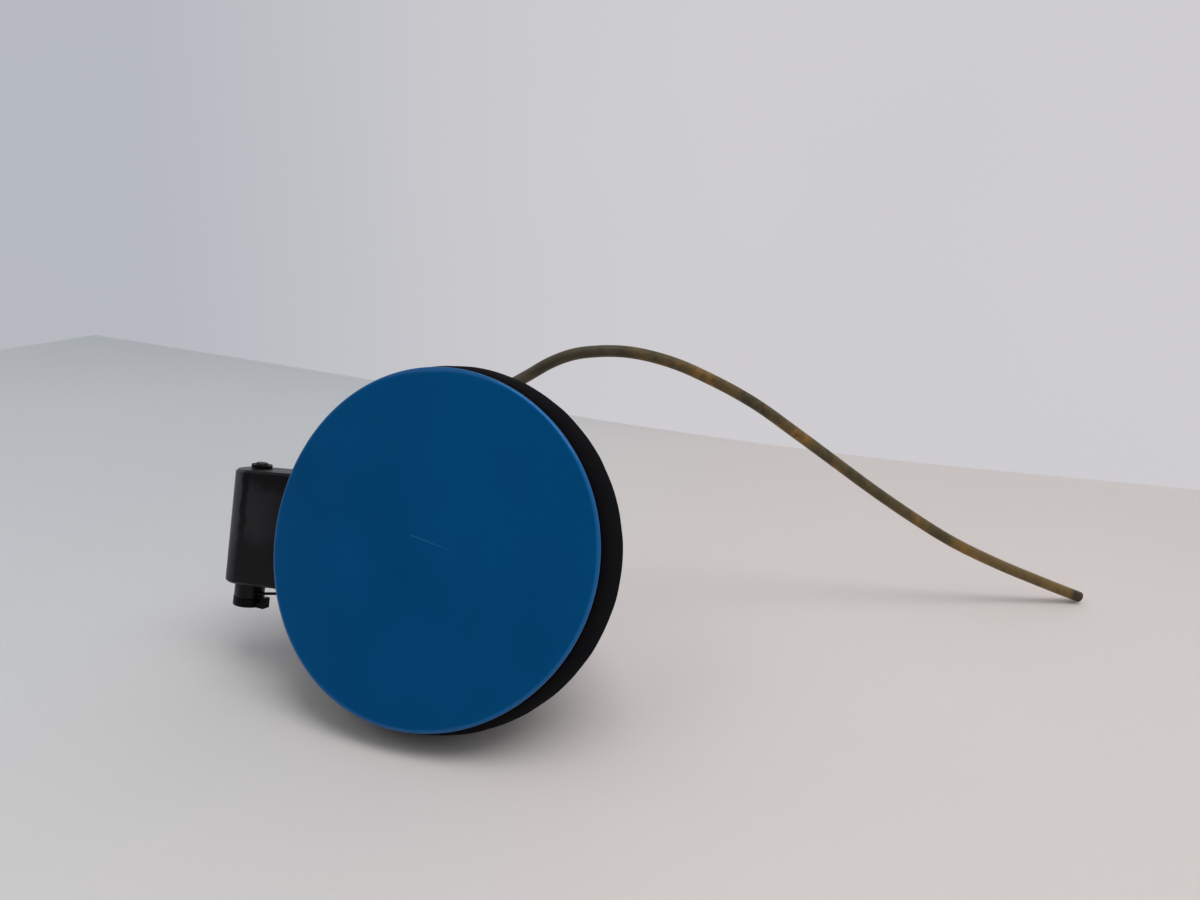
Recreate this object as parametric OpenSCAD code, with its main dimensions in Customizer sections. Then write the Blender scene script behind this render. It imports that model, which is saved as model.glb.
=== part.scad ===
// Round fuel filler door of a car: a painted flap on a hinge arm, the moulded bowl that it closes,
// the rubber seal round the bowl's mouth, and the thin drain hose that leaves the bowl.
// The origin is the middle of the filler neck's grommet, at the back face of the bowl's floor.
// +Y points into the car, -Y out of the flap, and the hinge is on the -X side.

/* [Flap] */
// Diameter of the painted flap
flap_d = 164; // [150:1:172]
// How far the flap's edge reaches past the outside of the bowl's mouth
flap_over = 1; // [0.5:0.1:2]
// Radius of the body panel's curve, which the flap and the bowl's mouth follow
body_curve_r = 520; // [420:10:900]
// Thickness of the painted skin
skin_t = 0.8; // [0.6:0.1:1.2]
// Thickness of the stamped inner panel
inner_panel_t = 1; // [0.7:0.1:1.4]
// Width of the hem that folds over the inner panel
hem_w = 8; // [5:0.5:12]
// Width of the band between the stamped pan and the flap's edge
pan_band = 36; // [32:1:44]
// Depth of the stamped pan
pan_depth = 4; // [2:0.5:6]

/* [Bowl] */
// Distance from the flap's outer face to the back of the bowl's floor
bowl_depth = 72; // [66:1:84]
// Outer radius of the bowl at its floor
floor_r = 64.5; // [60:0.5:68]
// Length of the straight wall behind the mouth
mouth_wall_l = 24; // [20:1:28]
// Wall thickness of the bowl
wall = 2.5; // [2:0.1:3]
// Gap between the flap's outer face and the bowl's mouth
mouth_gap = 9; // [8:0.5:11]
// Number of ribs on the back of the bowl
rib_count = 9; // [6:1:12]
// Height of the ribs on the back of the bowl
rib_h = 4; // [2:0.5:6]

/* [Seal] */
// Width of the seal's lip round the outside of the mouth
seal_w = 5.3; // [4.5:0.1:7]
// Depth of the seal's lip along the mouth
seal_l = 16.5; // [14:0.5:18]

/* [Filler neck] */
// Radius of the hole in the bowl's floor
neck_hole_r = 31; // [28:0.5:33]
// Radius of the grommet's bore, which the filler neck fills
neck_bore_r = 27; // [24:0.5:28]
// Length of the collar behind the floor
collar_l = 8; // [6:0.5:12]
// Radius of the circle that the three fixing screws lie on
fixing_circle_r = 46; // [44:0.5:52]
// Radius of the holes for the fixing screws
fixing_hole_r = 2.75; // [2:0.25:3.25]

/* [Hinge] */
// Distance of the hinge pin from the outside of the bowl's mouth
hinge_out = 27.6; // [27:0.1:29]
// Distance of the hinge pin behind the flap's outer face
hinge_depth = 28.5; // [28:0.5:32]
// Distance of the hinge's middle below the middle of the flap
hinge_drop = 11.3; // [8:0.1:14]
// Lean of the hinge pin out of the flap's plane, in degrees
hinge_lean = 9.5; // [5:0.5:12]
// Distance from the hinge's middle up to the top of the hinge pocket, along the pin
pocket_top = 30.8; // [29:0.1:33]
// Distance from the hinge's middle down to the bottom of the hinge pocket, along the pin
pocket_bottom = 27.7; // [26:0.1:30]
// Slant of the pocket's top and bottom, in degrees
pocket_slant = 5.7; // [3:0.1:7]
// Radius of the pocket's round end
pocket_r = 12.2; // [12:0.1:13.5]
// Distance from the pin to the pocket's back face
pocket_back = 8.5; // [8:0.5:10]
// Wall thickness of the pocket
pocket_wall = 2; // [1.6:0.1:2.4]
// Chamfer round the pocket's top and bottom
pocket_edge = 1.2; // [0.6:0.1:1.5]
// Radius of the hinge pin
pin_r = 2.5; // [2:0.1:3]
// Radius of the arm's barrel
barrel_r = 5.5; // [5:0.1:7]
// Thickness of the hinge arm
arm_t = 3.2; // [2.6:0.1:3.6]
// Half the height of the hinge arm
arm_h = 14; // [10:0.5:15]
// Direction in which the arm leaves its barrel, in degrees behind the flap's plane
arm_leave = 70; // [69:0.5:76]

/* [Lock] */
// Radius of the bore for the lock bolt
lock_bore_r = 4; // [3:0.25:5]
// Distance of the lock bolt behind the flap's outer face
lock_depth = 36; // [35:0.5:37]
// Distance of the striker's middle from the inside of the bowl's mouth
striker_in = 18.5; // [17:0.5:20]

/* [Drain] */
// Outer diameter of the drain hose
hose_d = 6.5; // [6:0.1:8]
// Bore of the drain spigot
drain_bore_r = 2.2; // [1.5:0.1:2.6]

/* [Hidden] */

$fn = 96;
// Clearance between pieces that are fitted together, and between pieces that run on each other
fit = 0.1;
run = 0.05;
gap = 0.3;
big = 400;

face_y = -bowl_depth;
flap_r = flap_d / 2;
mouth_r = flap_r - flap_over;
mouth_in_r = mouth_r - wall;
seal_r = mouth_r + seal_w;
hinge_x = mouth_r + hinge_out;
hem_depth = 2 * skin_t + inner_panel_t + 2 * fit;
panel_top = skin_t + fit;
panel_back = panel_top + inner_panel_t;
mouth_y = face_y + mouth_gap;

// Points of the drain hose, from the spigot to the bare end on the bench
HOSE_POINTS = [
    [-15, -4, 74], [-11, 2.5, 81.5], [-5.5, 9.5, 89], [1, 13, 95.5], [11, 14, 103.5], [22, 16.5, 110],
    [34, 20, 114], [46, 24.5, 116.5], [70, 35.5, 116.5], [93.5, 48, 111.5], [116.5, 61.5, 104],
    [139, 76, 93.5], [161.5, 91, 82.5], [185, 106.5, 71], [209.5, 122, 60], [235, 137.5, 50],
    [262, 153, 42.5], [290, 168, 36.5], [316, 182, 31.5]
];
HOSE_SIDES = 10;
HOSE_STEPS = 4;

// Y of the surface that lies a given depth behind the flap's outer face, at a distance x from its middle
function skin_y(depth, x) = face_y + body_curve_r - sqrt(pow(body_curve_r - depth, 2) - x * x);

// Turns a shape drawn in the X-Y plane to face out of the flap, with its Z along -Y
module outward() rotate([90, 0, 0]) children();

// Moves a shape from the hinge's own frame, with its Z along the pin, to its place
module at_hinge()
    translate([-hinge_x, face_y + hinge_depth, -hinge_drop]) rotate([hinge_lean, 0, 0]) children();

// Everything that lies deeper than a given depth behind the flap's outer face
module behind(depth)
    translate([0, face_y + body_curve_r, 0])
        cylinder(r = body_curve_r - depth, h = big, center = true, $fn = 360);

// A sheet that follows the body's curve between two depths, inside a round outline
module curved_disc(r, near, far) {
    intersection() {
        translate([0, face_y - 1, 0]) rotate([-90, 0, 0]) cylinder(r = r, h = bowl_depth, $fn = 180);
        difference() {
            behind(near);
            behind(far);
        }
    }
}

// A ring of the same sheet
module curved_ring(outer, inner, near, far) {
    difference() {
        curved_disc(outer, near, far);
        translate([0, face_y - 2, 0]) rotate([-90, 0, 0]) cylinder(r = inner, h = bowl_depth, $fn = 180);
    }
}

// Painted outer skin with its hem folded back round the inner panel
module flap_skin() {
    color([0, 0.24, 0.42]) union() {
        curved_disc(flap_r, 0, skin_t);
        curved_ring(flap_r, flap_r - skin_t, 0, hem_depth);
        curved_ring(flap_r, flap_r - hem_w, hem_depth - skin_t, hem_depth);
    }
}

// What is screwed to the inner panel keeps inside its hem
foot_out = flap_r - hem_w - fit;
foot_w = 26;
foot_t = 3;
foot_depth = panel_back + fit;
// Where the arm's two screws and the striker's two screws pass through the inner panel
arm_screw_x = -(foot_out - foot_w / 2 - 0.9);
striker_x = mouth_in_r - striker_in;
arm_screw_z = [-hinge_drop + 9, -hinge_drop - 9];
striker_screw_z = [9, -9];
screw_r = 2;
head_r = 4;

// Stamped inner panel with a pan in its middle, a bead round the pan and holes for the screws
module flap_inner_panel() {
    pan_r = flap_r - pan_band;
    color([0, 0.22, 0.38]) difference() {
        union() {
            curved_ring(flap_r - skin_t - fit, pan_r, panel_top, panel_back);
            curved_ring(pan_r + inner_panel_t, pan_r, panel_top, panel_back + pan_depth);
            curved_disc(pan_r + inner_panel_t, panel_top + pan_depth, panel_back + pan_depth);
        }
        for (z = arm_screw_z) screw_hole(arm_screw_x, z);
        for (z = striker_screw_z) screw_hole(striker_x, z);
    }
}

module screw_hole(x, z) {
    translate([x, face_y + skin_t + fit, z]) rotate([-90, 0, 0]) cylinder(r = screw_r + fit, h = bowl_depth);
}

// Y of the flat spot face that a screw's head sits on, a little deeper than the foot's curved back
function spot_y(x, head_depth) = skin_y(head_depth, x) - 0.6;

module spot_face(x, z, head_depth) {
    translate([x, spot_y(x, head_depth), z]) rotate([-90, 0, 0]) cylinder(r = head_r + 0.4, h = 10);
}

// A pan-head screw whose shank runs forward from its head into the inner panel
module screw(x, z, head_depth) {
    head_y = spot_y(x, head_depth) + run;
    tip_y = skin_y(skin_t + fit, x) + 0.4;
    translate([x, 0, z]) rotate([-90, 0, 0]) difference() {
        union() {
            translate([0, 0, tip_y]) cylinder(r = screw_r, h = head_y - tip_y + 0.5);
            translate([0, 0, head_y]) cylinder(r1 = head_r, r2 = head_r - 0.8, h = 2.2);
        }
        translate([0, 0, head_y + 1.2]) cylinder(r = 1.6, h = 2, $fn = 6);
    }
}

// Middle radius of the arm's curve, which brings the arm to the inner edge of the hem
arm_curve_r = hinge_x - (flap_r - hem_w) - gap;
// Ends of the arm's barrel along the pin, clear of the pocket's slanted ends when it turns
barrel_margin = pocket_wall + barrel_r * tan(pocket_slant) + gap;
barrel_bottom = -pocket_bottom + barrel_margin;
barrel_top = pocket_top - barrel_margin;
// Direction at which the arm's curve ends and its stretch to the foot begins
curve_end = -10;
curve_steps = 8;

// Plan of the arm: out of the barrel, round the pocket's edge and forward to the flap
module arm_plan() {
    // The straight web from the barrel to the curve
    rotate(arm_leave) translate([0, -arm_t / 2]) square([arm_curve_r, arm_t]);
    // The curve
    intersection() {
        difference() {
            circle(r = arm_curve_r + arm_t / 2);
            circle(r = arm_curve_r - arm_t / 2);
        }
        polygon([
            [0, 0],
            for (i = [0 : curve_steps])
                let(a = arm_leave + (curve_end - arm_leave) * i / curve_steps)
                2 * arm_curve_r * [cos(a), sin(a)]
        ]);
    }
    // The round outer corner between web and curve
    rotate(arm_leave) translate([arm_curve_r, 0]) circle(d = arm_t);
    // The stretch that runs forward to the foot
    forward = arm_curve_r * [cos(curve_end), sin(curve_end)];
    foot = [arm_curve_r + 4, -hinge_depth - 1.5];
    hull() {
        translate(forward) circle(d = arm_t);
        translate(foot) circle(d = arm_t);
    }
}

// Hinge arm: barrel, curved web with two stiffening ribs, and a foot on the inner panel
module hinge_arm() {
    color([0.12, 0.12, 0.13]) difference() {
        union() {
            at_hinge() {
                translate([0, 0, barrel_bottom]) cylinder(r = barrel_r, h = barrel_top - barrel_bottom);
                linear_extrude(height = 2 * arm_h, center = true) arm_plan();
            }
            foot();
        }
        // Clearance for the flap's hem
        curved_ring(flap_r + 5, flap_r - hem_w - fit, -1, hem_depth + fit);
        // The foot's end is trimmed to the inner panel's back
        difference() {
            translate([-flap_r - 20, face_y - 20, -flap_r]) cube([flap_r + 10, bowl_depth, flap_d]);
            behind(foot_depth);
        }
        at_hinge() cylinder(r = pin_r + fit / 4, h = big, center = true);
        for (z = arm_screw_z) {
            screw_hole(arm_screw_x, z);
            spot_face(arm_screw_x, z, foot_depth + foot_t);
        }
    }
}

// Foot plate of the arm, which follows the inner panel inside its hem, with ribs back to the web
module foot() {
    intersection() {
        curved_disc(foot_out, foot_depth, foot_depth + foot_t);
        translate([-foot_out, face_y, -hinge_drop - arm_h - 1]) cube([foot_w, bowl_depth, 2 * arm_h + 2]);
    }
}

// Tongue that the lock bolt holds, on a foot of its own
module latch_striker() {
    tongue_w = 16;
    tongue_t = 5;
    tongue_past = 9;
    base_w = 10;
    base_h = 28;
    color([0.13, 0.13, 0.14]) difference() {
        union() {
            intersection() {
                curved_disc(foot_out, foot_depth, foot_depth + foot_t);
                translate([striker_x - base_w / 2 - 1, face_y, -base_h / 2])
                    cube([base_w + 4, bowl_depth, base_h]);
            }
            intersection() {
                behind(foot_depth);
                translate([striker_x + base_w / 2 - 2, face_y, -tongue_w / 2])
                    cube([tongue_t, lock_depth + tongue_past, tongue_w]);
            }
        }
        // Slot for the bolt
        translate([striker_x, face_y + lock_depth, 0]) rotate([0, 90, 0])
            cylinder(r = lock_bore_r + 1, h = big);
        for (z = striker_screw_z) {
            screw_hole(striker_x, z);
            spot_face(striker_x, z, foot_depth + foot_t);
        }
    }
}

module arm_screw_upper() {
    color([0.6, 0.6, 0.62]) screw(arm_screw_x, arm_screw_z[0], foot_depth + foot_t);
}

module arm_screw_lower() {
    color([0.6, 0.6, 0.62]) screw(arm_screw_x, arm_screw_z[1], foot_depth + foot_t);
}

module striker_screws() {
    color([0.6, 0.6, 0.62]) for (z = striker_screw_z) screw(striker_x, z, foot_depth + foot_t);
}

// Open fork on the pan, where the filler cap is hung while the tank is filled
module cap_rest() {
    fork_w = 34;
    fork_h = 12;
    slot_w = 6;
    seat = panel_back + pan_depth + fit;
    color([0.12, 0.12, 0.13]) intersection() {
        behind(seat);
        difference() {
            translate([-fork_w / 2, face_y, -fork_h]) cube([fork_w, seat + 14, fork_h + 10]);
            // The slot that the cap's edge drops into
            translate([-fork_w / 2 - 1, face_y + seat + 4, -fork_h + 4])
                cube([fork_w + 2, slot_w, 2 * fork_h]);
            // The round opening between the fork's two arms
            translate([0, face_y + seat + 5, 12]) rotate([-90, 0, 0]) cylinder(r = 13, h = 20);
        }
    }
}

// Heights along the pin: the bush's flange, the boss below the pocket, the spring's coil and the cap
flange_t = 1.4;
flange_r = 5.1;
seat_h = 0.6;
boss_l = 4.9;
bush_seat = pocket_top + seat_h;
pin_top = bush_seat + flange_t + fit;
pin_head_r = 3.2;
pin_head_h = 0.9;
boss_end = -pocket_bottom - boss_l;
coil_h = 3.3;
skirt_end = boss_end - coil_h;
boss_r = 7.4;
cap_h = 4.2;
cap_top = skirt_end - gap;

// Hinge pin with a small head above its bush
module hinge_pin() {
    color([0.5, 0.5, 0.52]) at_hinge() {
        translate([0, 0, cap_top - cap_h / 2]) cylinder(r = pin_r, h = pin_top - cap_top + cap_h / 2);
        translate([0, 0, pin_top]) cylinder(r1 = pin_head_r, r2 = pin_head_r - 0.5, h = pin_head_h);
    }
}

// Cap on the pin's lower end, with the nose that the wire spring bears on
module pin_cap() {
    cap_r = 7.6;
    color([0.1, 0.1, 0.11]) at_hinge() translate([0, 0, cap_top - cap_h]) difference() {
        union() {
            cylinder(r = cap_r, h = cap_h);
            translate([0, -3, 0]) cube([cap_r + 3.6, 5, cap_h - 1.4]);
            translate([cap_r + 1.6, -3, 0]) cube([2, 5, cap_h + 1]);
            translate([0, 0, -0.8]) cylinder(r = 1.4, h = 1);
        }
        translate([0, 0, cap_h / 2]) cylinder(r = pin_r + fit / 4, h = cap_h);
    }
}

// Bush in the pocket's top wall, with a round flange
module pin_bush() {
    color([0.14, 0.14, 0.15]) at_hinge() difference() {
        union() {
            translate([0, 0, bush_seat]) cylinder(r = flange_r, h = flange_t);
            translate([0, 0, pocket_top - pocket_wall])
                cylinder(r = bush_r, h = bush_seat - pocket_top + pocket_wall);
        }
        translate([0, 0, pocket_top - 5]) cylinder(r = pin_r + run, h = 10);
    }
}

bush_r = pin_r + 1.5;
wire_r = 0.75;
coil_r = 5.7;
// Direction and length of the spring's leg, which ends in a post under the pocket's bulge
leg_angle = 45;
leg_l = 28;
leg_z = boss_end - wire_r - fit;
post_r = 3;

// Wire spring round the pin's lower end, with one leg that runs to the post under the bulge
module hinge_spring() {
    steps = 20;
    drop = coil_h - 2 * wire_r - 2 * fit;
    from = leg_angle - 90;
    coil = [
        for (i = [0 : steps])
            let(a = from - i * 360 / steps)
            [coil_r * cos(a), coil_r * sin(a), leg_z - drop * i / steps]
    ];
    leg = [for (s = [4 : -1 : 1]) coil[0] + s / 4 * leg_l * [cos(leg_angle), sin(leg_angle), 0]];
    color([0.16, 0.15, 0.14]) at_hinge() tube(concat(leg, coil), wire_r, 8);
}

// Closed tube of a given radius swept along a list of points
module tube(points, r, sides) {
    n = len(points);
    function unit(v) = v / norm(v);
    function heading(i) = unit(points[min(i + 1, n - 1)] - points[max(i - 1, 0)]);
    // Each ring's first direction is carried over from the one before it, so the tube doesn't twist
    function carried(i) =
        let(t = heading(i))
        i == 0
            ? unit(cross(t, abs(t[2]) > 0.8 ? [1, 0, 0] : [0, 0, 1]))
            : let(before = carried(i - 1)) unit(before - (before * t) * t);
    rings = [
        for (i = [0 : n - 1])
            let(t = heading(i), u = carried(i), v = cross(t, u))
            for (k = [0 : sides - 1])
                let(a = 360 * k / sides)
                points[i] + r * (cos(a) * u + sin(a) * v)
    ];
    sides_faces = [
        for (i = [0 : n - 2], k = [0 : sides - 1])
            let(next = (k + 1) % sides)
            [i * sides + k, (i + 1) * sides + k, (i + 1) * sides + next, i * sides + next]
    ];
    caps = [
        [for (k = [0 : sides - 1]) k],
        [for (k = [sides - 1 : -1 : 0]) (n - 1) * sides + k]
    ];
    polyhedron(rings, concat(sides_faces, caps), convexity = 6);
}

// A smooth curve through the points of a route, with a few steps between each two
function through(p, steps) = [
    for (i = [0 : len(p) - 2], s = [0 : steps - 1])
        let(
            a = p[max(i - 1, 0)], b = p[i], c = p[i + 1], d = p[min(i + 2, len(p) - 1)],
            t = s / steps
        )
        0.5 * (2 * b + (c - a) * t + (2 * a - 5 * b + 4 * c - d) * t * t
            + (3 * b - a - 3 * c + d) * t * t * t),
    p[len(p) - 1]
];

// Drain hose, solid in this model
module drain_hose() {
    color([0.28, 0.25, 0.18]) tube(through(HOSE_POINTS, HOSE_STEPS), hose_d / 2, HOSE_SIDES);
}

// The drain's boss, spigot and hose share one line: it starts in the bowl and ends at the hose's first point
spigot_start = HOSE_POINTS[0];
spigot_dir = (HOSE_POINTS[1] - HOSE_POINTS[0]) / norm(HOSE_POINTS[1] - HOSE_POINTS[0]);

// Moves a shape to the drain's line, with its Z towards the hose and its origin at the hose's end
module at_drain() {
    tilt = acos(spigot_dir[2]);
    turn = atan2(spigot_dir[1], spigot_dir[0]);
    translate(spigot_start) rotate([0, 0, turn]) rotate([0, tilt, 0]) children();
}

collar_t = 3;
drain_sleeve_r = 4;
drain_sleeve_l = 13;
drain_boss_r = 6.4;
// How far the drain's boss runs back from the hose's end, through the wall into the bowl's hollow
drain_reach = 30;

// Spigot pressed into the bowl's drain boss, with a collar that the hose's end meets
module drain_spigot() {
    color([0.13, 0.13, 0.14]) at_drain() difference() {
        union() {
            translate([0, 0, -collar_t]) cylinder(r = drain_boss_r - 1, h = collar_t - gap);
            translate([0, 0, -drain_sleeve_l]) cylinder(r = drain_sleeve_r, h = drain_sleeve_l - gap - 0.5);
        }
        translate([0, 0, -drain_sleeve_l - 1]) cylinder(r = drain_bore_r, h = drain_sleeve_l + collar_t);
    }
}

lock_y = face_y + lock_depth;
lock_boss_r = lock_bore_r + 4.5;
lock_sleeve_r = lock_bore_r + 2.5;
lock_boss_l = 10;
lock_flange_t = 1.5;

// Moves a shape to the lock bolt's line, with its Z out of the bowl and its origin at the mouth's axis
module at_lock() translate([0, lock_y, 0]) rotate([0, 90, 0]) children();

// Boss inside the bowl's wall that carries the bush
module lock_boss() {
    at_lock() translate([0, 0, mouth_r - lock_boss_l]) cylinder(r = lock_boss_r, h = lock_boss_l);
}

// Guide bush for the lock bolt, pushed in from the inside, with a flange at its inner end
module lock_bush() {
    color([0.1, 0.1, 0.11]) at_lock() translate([0, 0, mouth_r - lock_boss_l]) difference() {
        union() {
            translate([0, 0, -lock_flange_t]) cylinder(r = lock_sleeve_r, h = lock_boss_l + lock_flange_t);
            translate([0, 0, -lock_flange_t]) cylinder(r = lock_boss_r, h = lock_flange_t - fit / 4);
        }
        translate([0, 0, -lock_boss_l]) cylinder(r = lock_bore_r, h = 3 * lock_boss_l);
    }
}

buffer_angle = 52;
buffer_in = 12.5;
buffer_at_r = mouth_in_r - buffer_in;
buffer_ledge = 14;
buffer_stem_r = 2;
ledge_w = 16;
ledge_t = 4;

// Places a shape at a buffer: sign 1 is the upper one, -1 the lower one
module at_buffer(sign) {
    x = buffer_at_r * cos(buffer_angle);
    z = sign * buffer_at_r * sin(buffer_angle);
    translate([x, face_y + buffer_ledge, z]) rotate([90, 0, 0]) children();
}

// Rubber buffer that the closed flap rests on
module buffer(sign) {
    x = buffer_at_r * cos(buffer_angle);
    reach = face_y + buffer_ledge - skin_y(panel_back, x) - 2 * gap;
    color([0.08, 0.08, 0.08]) at_buffer(sign) {
        cylinder(r1 = 5, r2 = 4.2, h = reach);
        translate([0, 0, -ledge_t - 1]) cylinder(r = buffer_stem_r, h = ledge_t + 2);
        translate([0, 0, -ledge_t - 2.5]) cylinder(r1 = buffer_stem_r, r2 = buffer_stem_r + 1, h = 2);
    }
}

module buffer_upper() buffer(1);

module buffer_lower() buffer(-1);

// Rubber grommet in the bowl's floor, with a groove for the hole's edge and a lip for the neck
module neck_grommet() {
    lip = 3;
    half_l = 6;
    color([0.07, 0.07, 0.07]) rotate([90, 0, 0]) rotate_extrude($fn = 120) polygon([
        [neck_bore_r, -half_l], [neck_bore_r, half_l], [neck_bore_r + lip / 2, half_l + lip / 2],
        [neck_hole_r + lip, half_l - lip / 6], [neck_hole_r + lip, wall + fit],
        [neck_hole_r - fit, wall + fit], [neck_hole_r - fit, -half_l]
    ]);
}

// Cross-section of the seal: distance from the bowl's axis and depth behind the flap's outer face
function seal_section() =
    let(
        inner = mouth_in_r - fit, seat = mouth_r + 0.2, front = mouth_gap - 0.2,
        back = mouth_gap - 2.4 + seal_l
    )
    [
        [inner, front], [inner, front - 1.2], [inner + 0.8, front - 2], [mouth_r + 0.8, front - 2.2],
        [seal_r - 3, front - 0.2], [seal_r - 1.4, front + 4.2], [seal_r - 0.5, back - 5.5],
        [seal_r, back - 2.5], [seal_r, back - 1], [seal_r - 0.7, back], [seat, back], [seat, front]
    ];

// Angles at which the seal starts and ends, either side of the hinge pocket
seal_from = -149;
seal_to = 162;
SEAL_STEPS = 100;

// Rubber seal round the bowl's mouth, following the body's curve, open where the hinge pocket lies
module rim_seal() {
    section = seal_section();
    m = len(section);
    points = [
        for (i = [0 : SEAL_STEPS])
            let(a = seal_from + (seal_to - seal_from) * i / SEAL_STEPS)
            for (s = section)
                [s[0] * cos(a), skin_y(s[1], s[0] * cos(a)), s[0] * sin(a)]
    ];
    faces = [
        for (i = [0 : SEAL_STEPS - 1], k = [0 : m - 1])
            let(next = (k + 1) % m)
            [i * m + k, i * m + next, (i + 1) * m + next, (i + 1) * m + k]
    ];
    caps = [
        [for (k = [m - 1 : -1 : 0]) k],
        [for (k = [0 : m - 1]) SEAL_STEPS * m + k]
    ];
    color([0.06, 0.06, 0.07]) polyhedron(points, concat(faces, caps), convexity = 8);
}

// Profile of the bowl from its floor to its mouth, grown outward by a given amount
module bowl_outline(grow, floor_at) {
    polygon([
        [0, floor_at], [floor_r + grow - 2, floor_at], [floor_r + grow, floor_at + 2],
        [mouth_r + grow, bowl_depth - mouth_gap - mouth_wall_l], [mouth_r + grow, bowl_depth + 5],
        [0, bowl_depth + 5]
    ]);
}

// Hinge pocket, drawn in the hinge's own frame: the narrow front box and the lower bulge behind it
bulge_h = arm_h + 2;
bulge_r = arm_curve_r + arm_t / 2 + 1.5;
pocket_reach = hinge_out + 14.4;
window_x = hinge_out + 0.9;
// How far the cuts for the arm run forward of the pin, past the flap's outer face
front_cut = hinge_depth + 11.5;

// The slanted layer between the pocket's top and bottom, less a margin at both
module pocket_slab(margin) {
    rotate([0, -pocket_slant, 0])
        translate([-big / 2, -big / 2, -pocket_bottom * cos(pocket_slant) + margin])
            cube([big, big, (pocket_top + pocket_bottom) * cos(pocket_slant) - 2 * margin]);
}

module pocket_plan(grow) {
    front = pocket_r - pocket_wall + grow;
    intersection() {
        union() {
            circle(r = front, $fn = 48);
            translate([0, -front]) square([pocket_reach, 2 * front]);
        }
        translate([-big / 2, -big]) square([big, big + pocket_back - pocket_wall + grow]);
    }
}

module bulge_plan(grow) {
    intersection() {
        circle(r = bulge_r + grow);
        translate([-grow, -grow]) square(bulge_r + 10);
    }
}

// A slice of the pocket's outside, drawn in from its wall by one margin and from its ends by another
module pocket_slice(side_margin, end_margin) {
    intersection() {
        linear_extrude(height = big, center = true) pocket_plan(pocket_wall - side_margin);
        pocket_slab(end_margin);
    }
}

module pocket_outside() {
    hull() {
        pocket_slice(0, pocket_edge);
        pocket_slice(pocket_edge, 0);
    }
    linear_extrude(height = 2 * (bulge_h + pocket_wall), center = true) bulge_plan(pocket_wall);
    // Bosses that carry the pin's two ends
    translate([0, 0, skirt_end]) cylinder(r = boss_r, h = 1 + pocket_wall - skirt_end - pocket_bottom);
    translate([0, 0, pocket_top - pocket_wall])
        cylinder(r = flange_r, h = bush_seat - pocket_top + pocket_wall);
    // Post that holds the end of the spring's leg
    rotate(leg_angle) translate([leg_l, -coil_r, leg_z - post_r])
        cylinder(r = post_r, h = post_r - leg_z - bulge_h - pocket_wall / 2);
}

module pocket_inside() {
    intersection() {
        linear_extrude(height = big, center = true) pocket_plan(0);
        pocket_slab(pocket_wall);
    }
    linear_extrude(height = 2 * bulge_h, center = true) bulge_plan(0);
    // The window that the arm comes out of
    translate([window_x, -front_cut, -bulge_h])
        cube([hinge_x - window_x, front_cut + pocket_back + 1.5, 2 * bulge_h]);
    // The coil's room inside the lower boss, and the slot that its leg comes out of
    translate([0, 0, skirt_end - 1]) cylinder(r = coil_r + wire_r + fit, h = boss_end - skirt_end + 1);
    rotate(leg_angle) translate([0, -coil_r - wire_r - 2 * fit, skirt_end - 1])
        cube([boss_r + post_r, 2 * wire_r + 3 * fit, boss_end - skirt_end + 1]);
    // The post's blind hole
    rotate(leg_angle) translate([leg_l - 2 * post_r, -coil_r, leg_z]) rotate([0, 90, 0])
        cylinder(r = wire_r + run, h = 2 * post_r + fit);
}

// Hinge pocket welded to the outside of the bowl's wall
module hinge_pocket() {
    color([0.11, 0.11, 0.12]) difference() {
        at_hinge() difference() {
            pocket_outside();
            pocket_inside();
            translate([0, 0, -big]) cylinder(r = pin_r + run, h = big);
            cylinder(r = bush_r + fit / 4, h = big);
        }
        outward() rotate_extrude($fn = 180) bowl_outline(fit / 2, 0);
    }
}

// Moulded bowl: mouth, wall, floor with the neck's hole, bosses and ribs
module bowl() {
    color([0.11, 0.11, 0.12]) difference() {
        union() {
            intersection() {
                outward() rotate_extrude($fn = 180) bowl_outline(0, 0);
                behind(mouth_gap);
            }
            // Everything that the wall carries outside, apart from the hinge pocket
            at_drain() translate([0, 0, -drain_reach]) cylinder(r = drain_boss_r, h = drain_reach - collar_t);
            lock_boss();
            bowl_ribs();
            snap_tabs();
            outward() translate([0, 0, -collar_l]) cylinder(r = neck_hole_r + wall, h = collar_l + 1);
        }
        // The hollow of the bowl, which leaves the ledges for the buffers and the screw pads
        difference() {
            outward() rotate_extrude($fn = 180) bowl_outline(-wall, wall);
            for (sign = [-1, 1]) buffer_post(sign);
            fixing_pads();
            lock_boss();
        }
        at_hinge() {
            pocket_inside();
            // The mouth's edge is open in front of the pocket
            intersection() {
                translate([hinge_out - 2, -front_cut, -big / 2]) cube([hem_w + 12, front_cut + 4, big]);
                pocket_slab(pocket_wall);
            }
        }
        outward() cylinder(r = neck_hole_r, h = bowl_depth / 2, center = true);
        for (a = [90 : 120 : 330]) rotate([0, a, 0])
            translate([fixing_circle_r, 0, 0]) rotate([90, 0, 0])
                cylinder(r = fixing_hole_r, h = bowl_depth / 2, center = true);
        at_drain() translate([0, 0, -2 * drain_reach]) cylinder(r = drain_sleeve_r + fit / 4, h = big);
        at_lock() translate([0, 0, mouth_r - 2 * lock_boss_l]) {
            cylinder(r = lock_sleeve_r + fit / 4, h = 4 * lock_boss_l);
            // Room for the bush's flange
            cylinder(r = lock_boss_r + fit, h = lock_boss_l);
        }
        for (sign = [-1, 1]) at_buffer(sign)
            cylinder(r = buffer_stem_r + fit / 2, h = bowl_depth / 2, center = true);
    }
}

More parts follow.
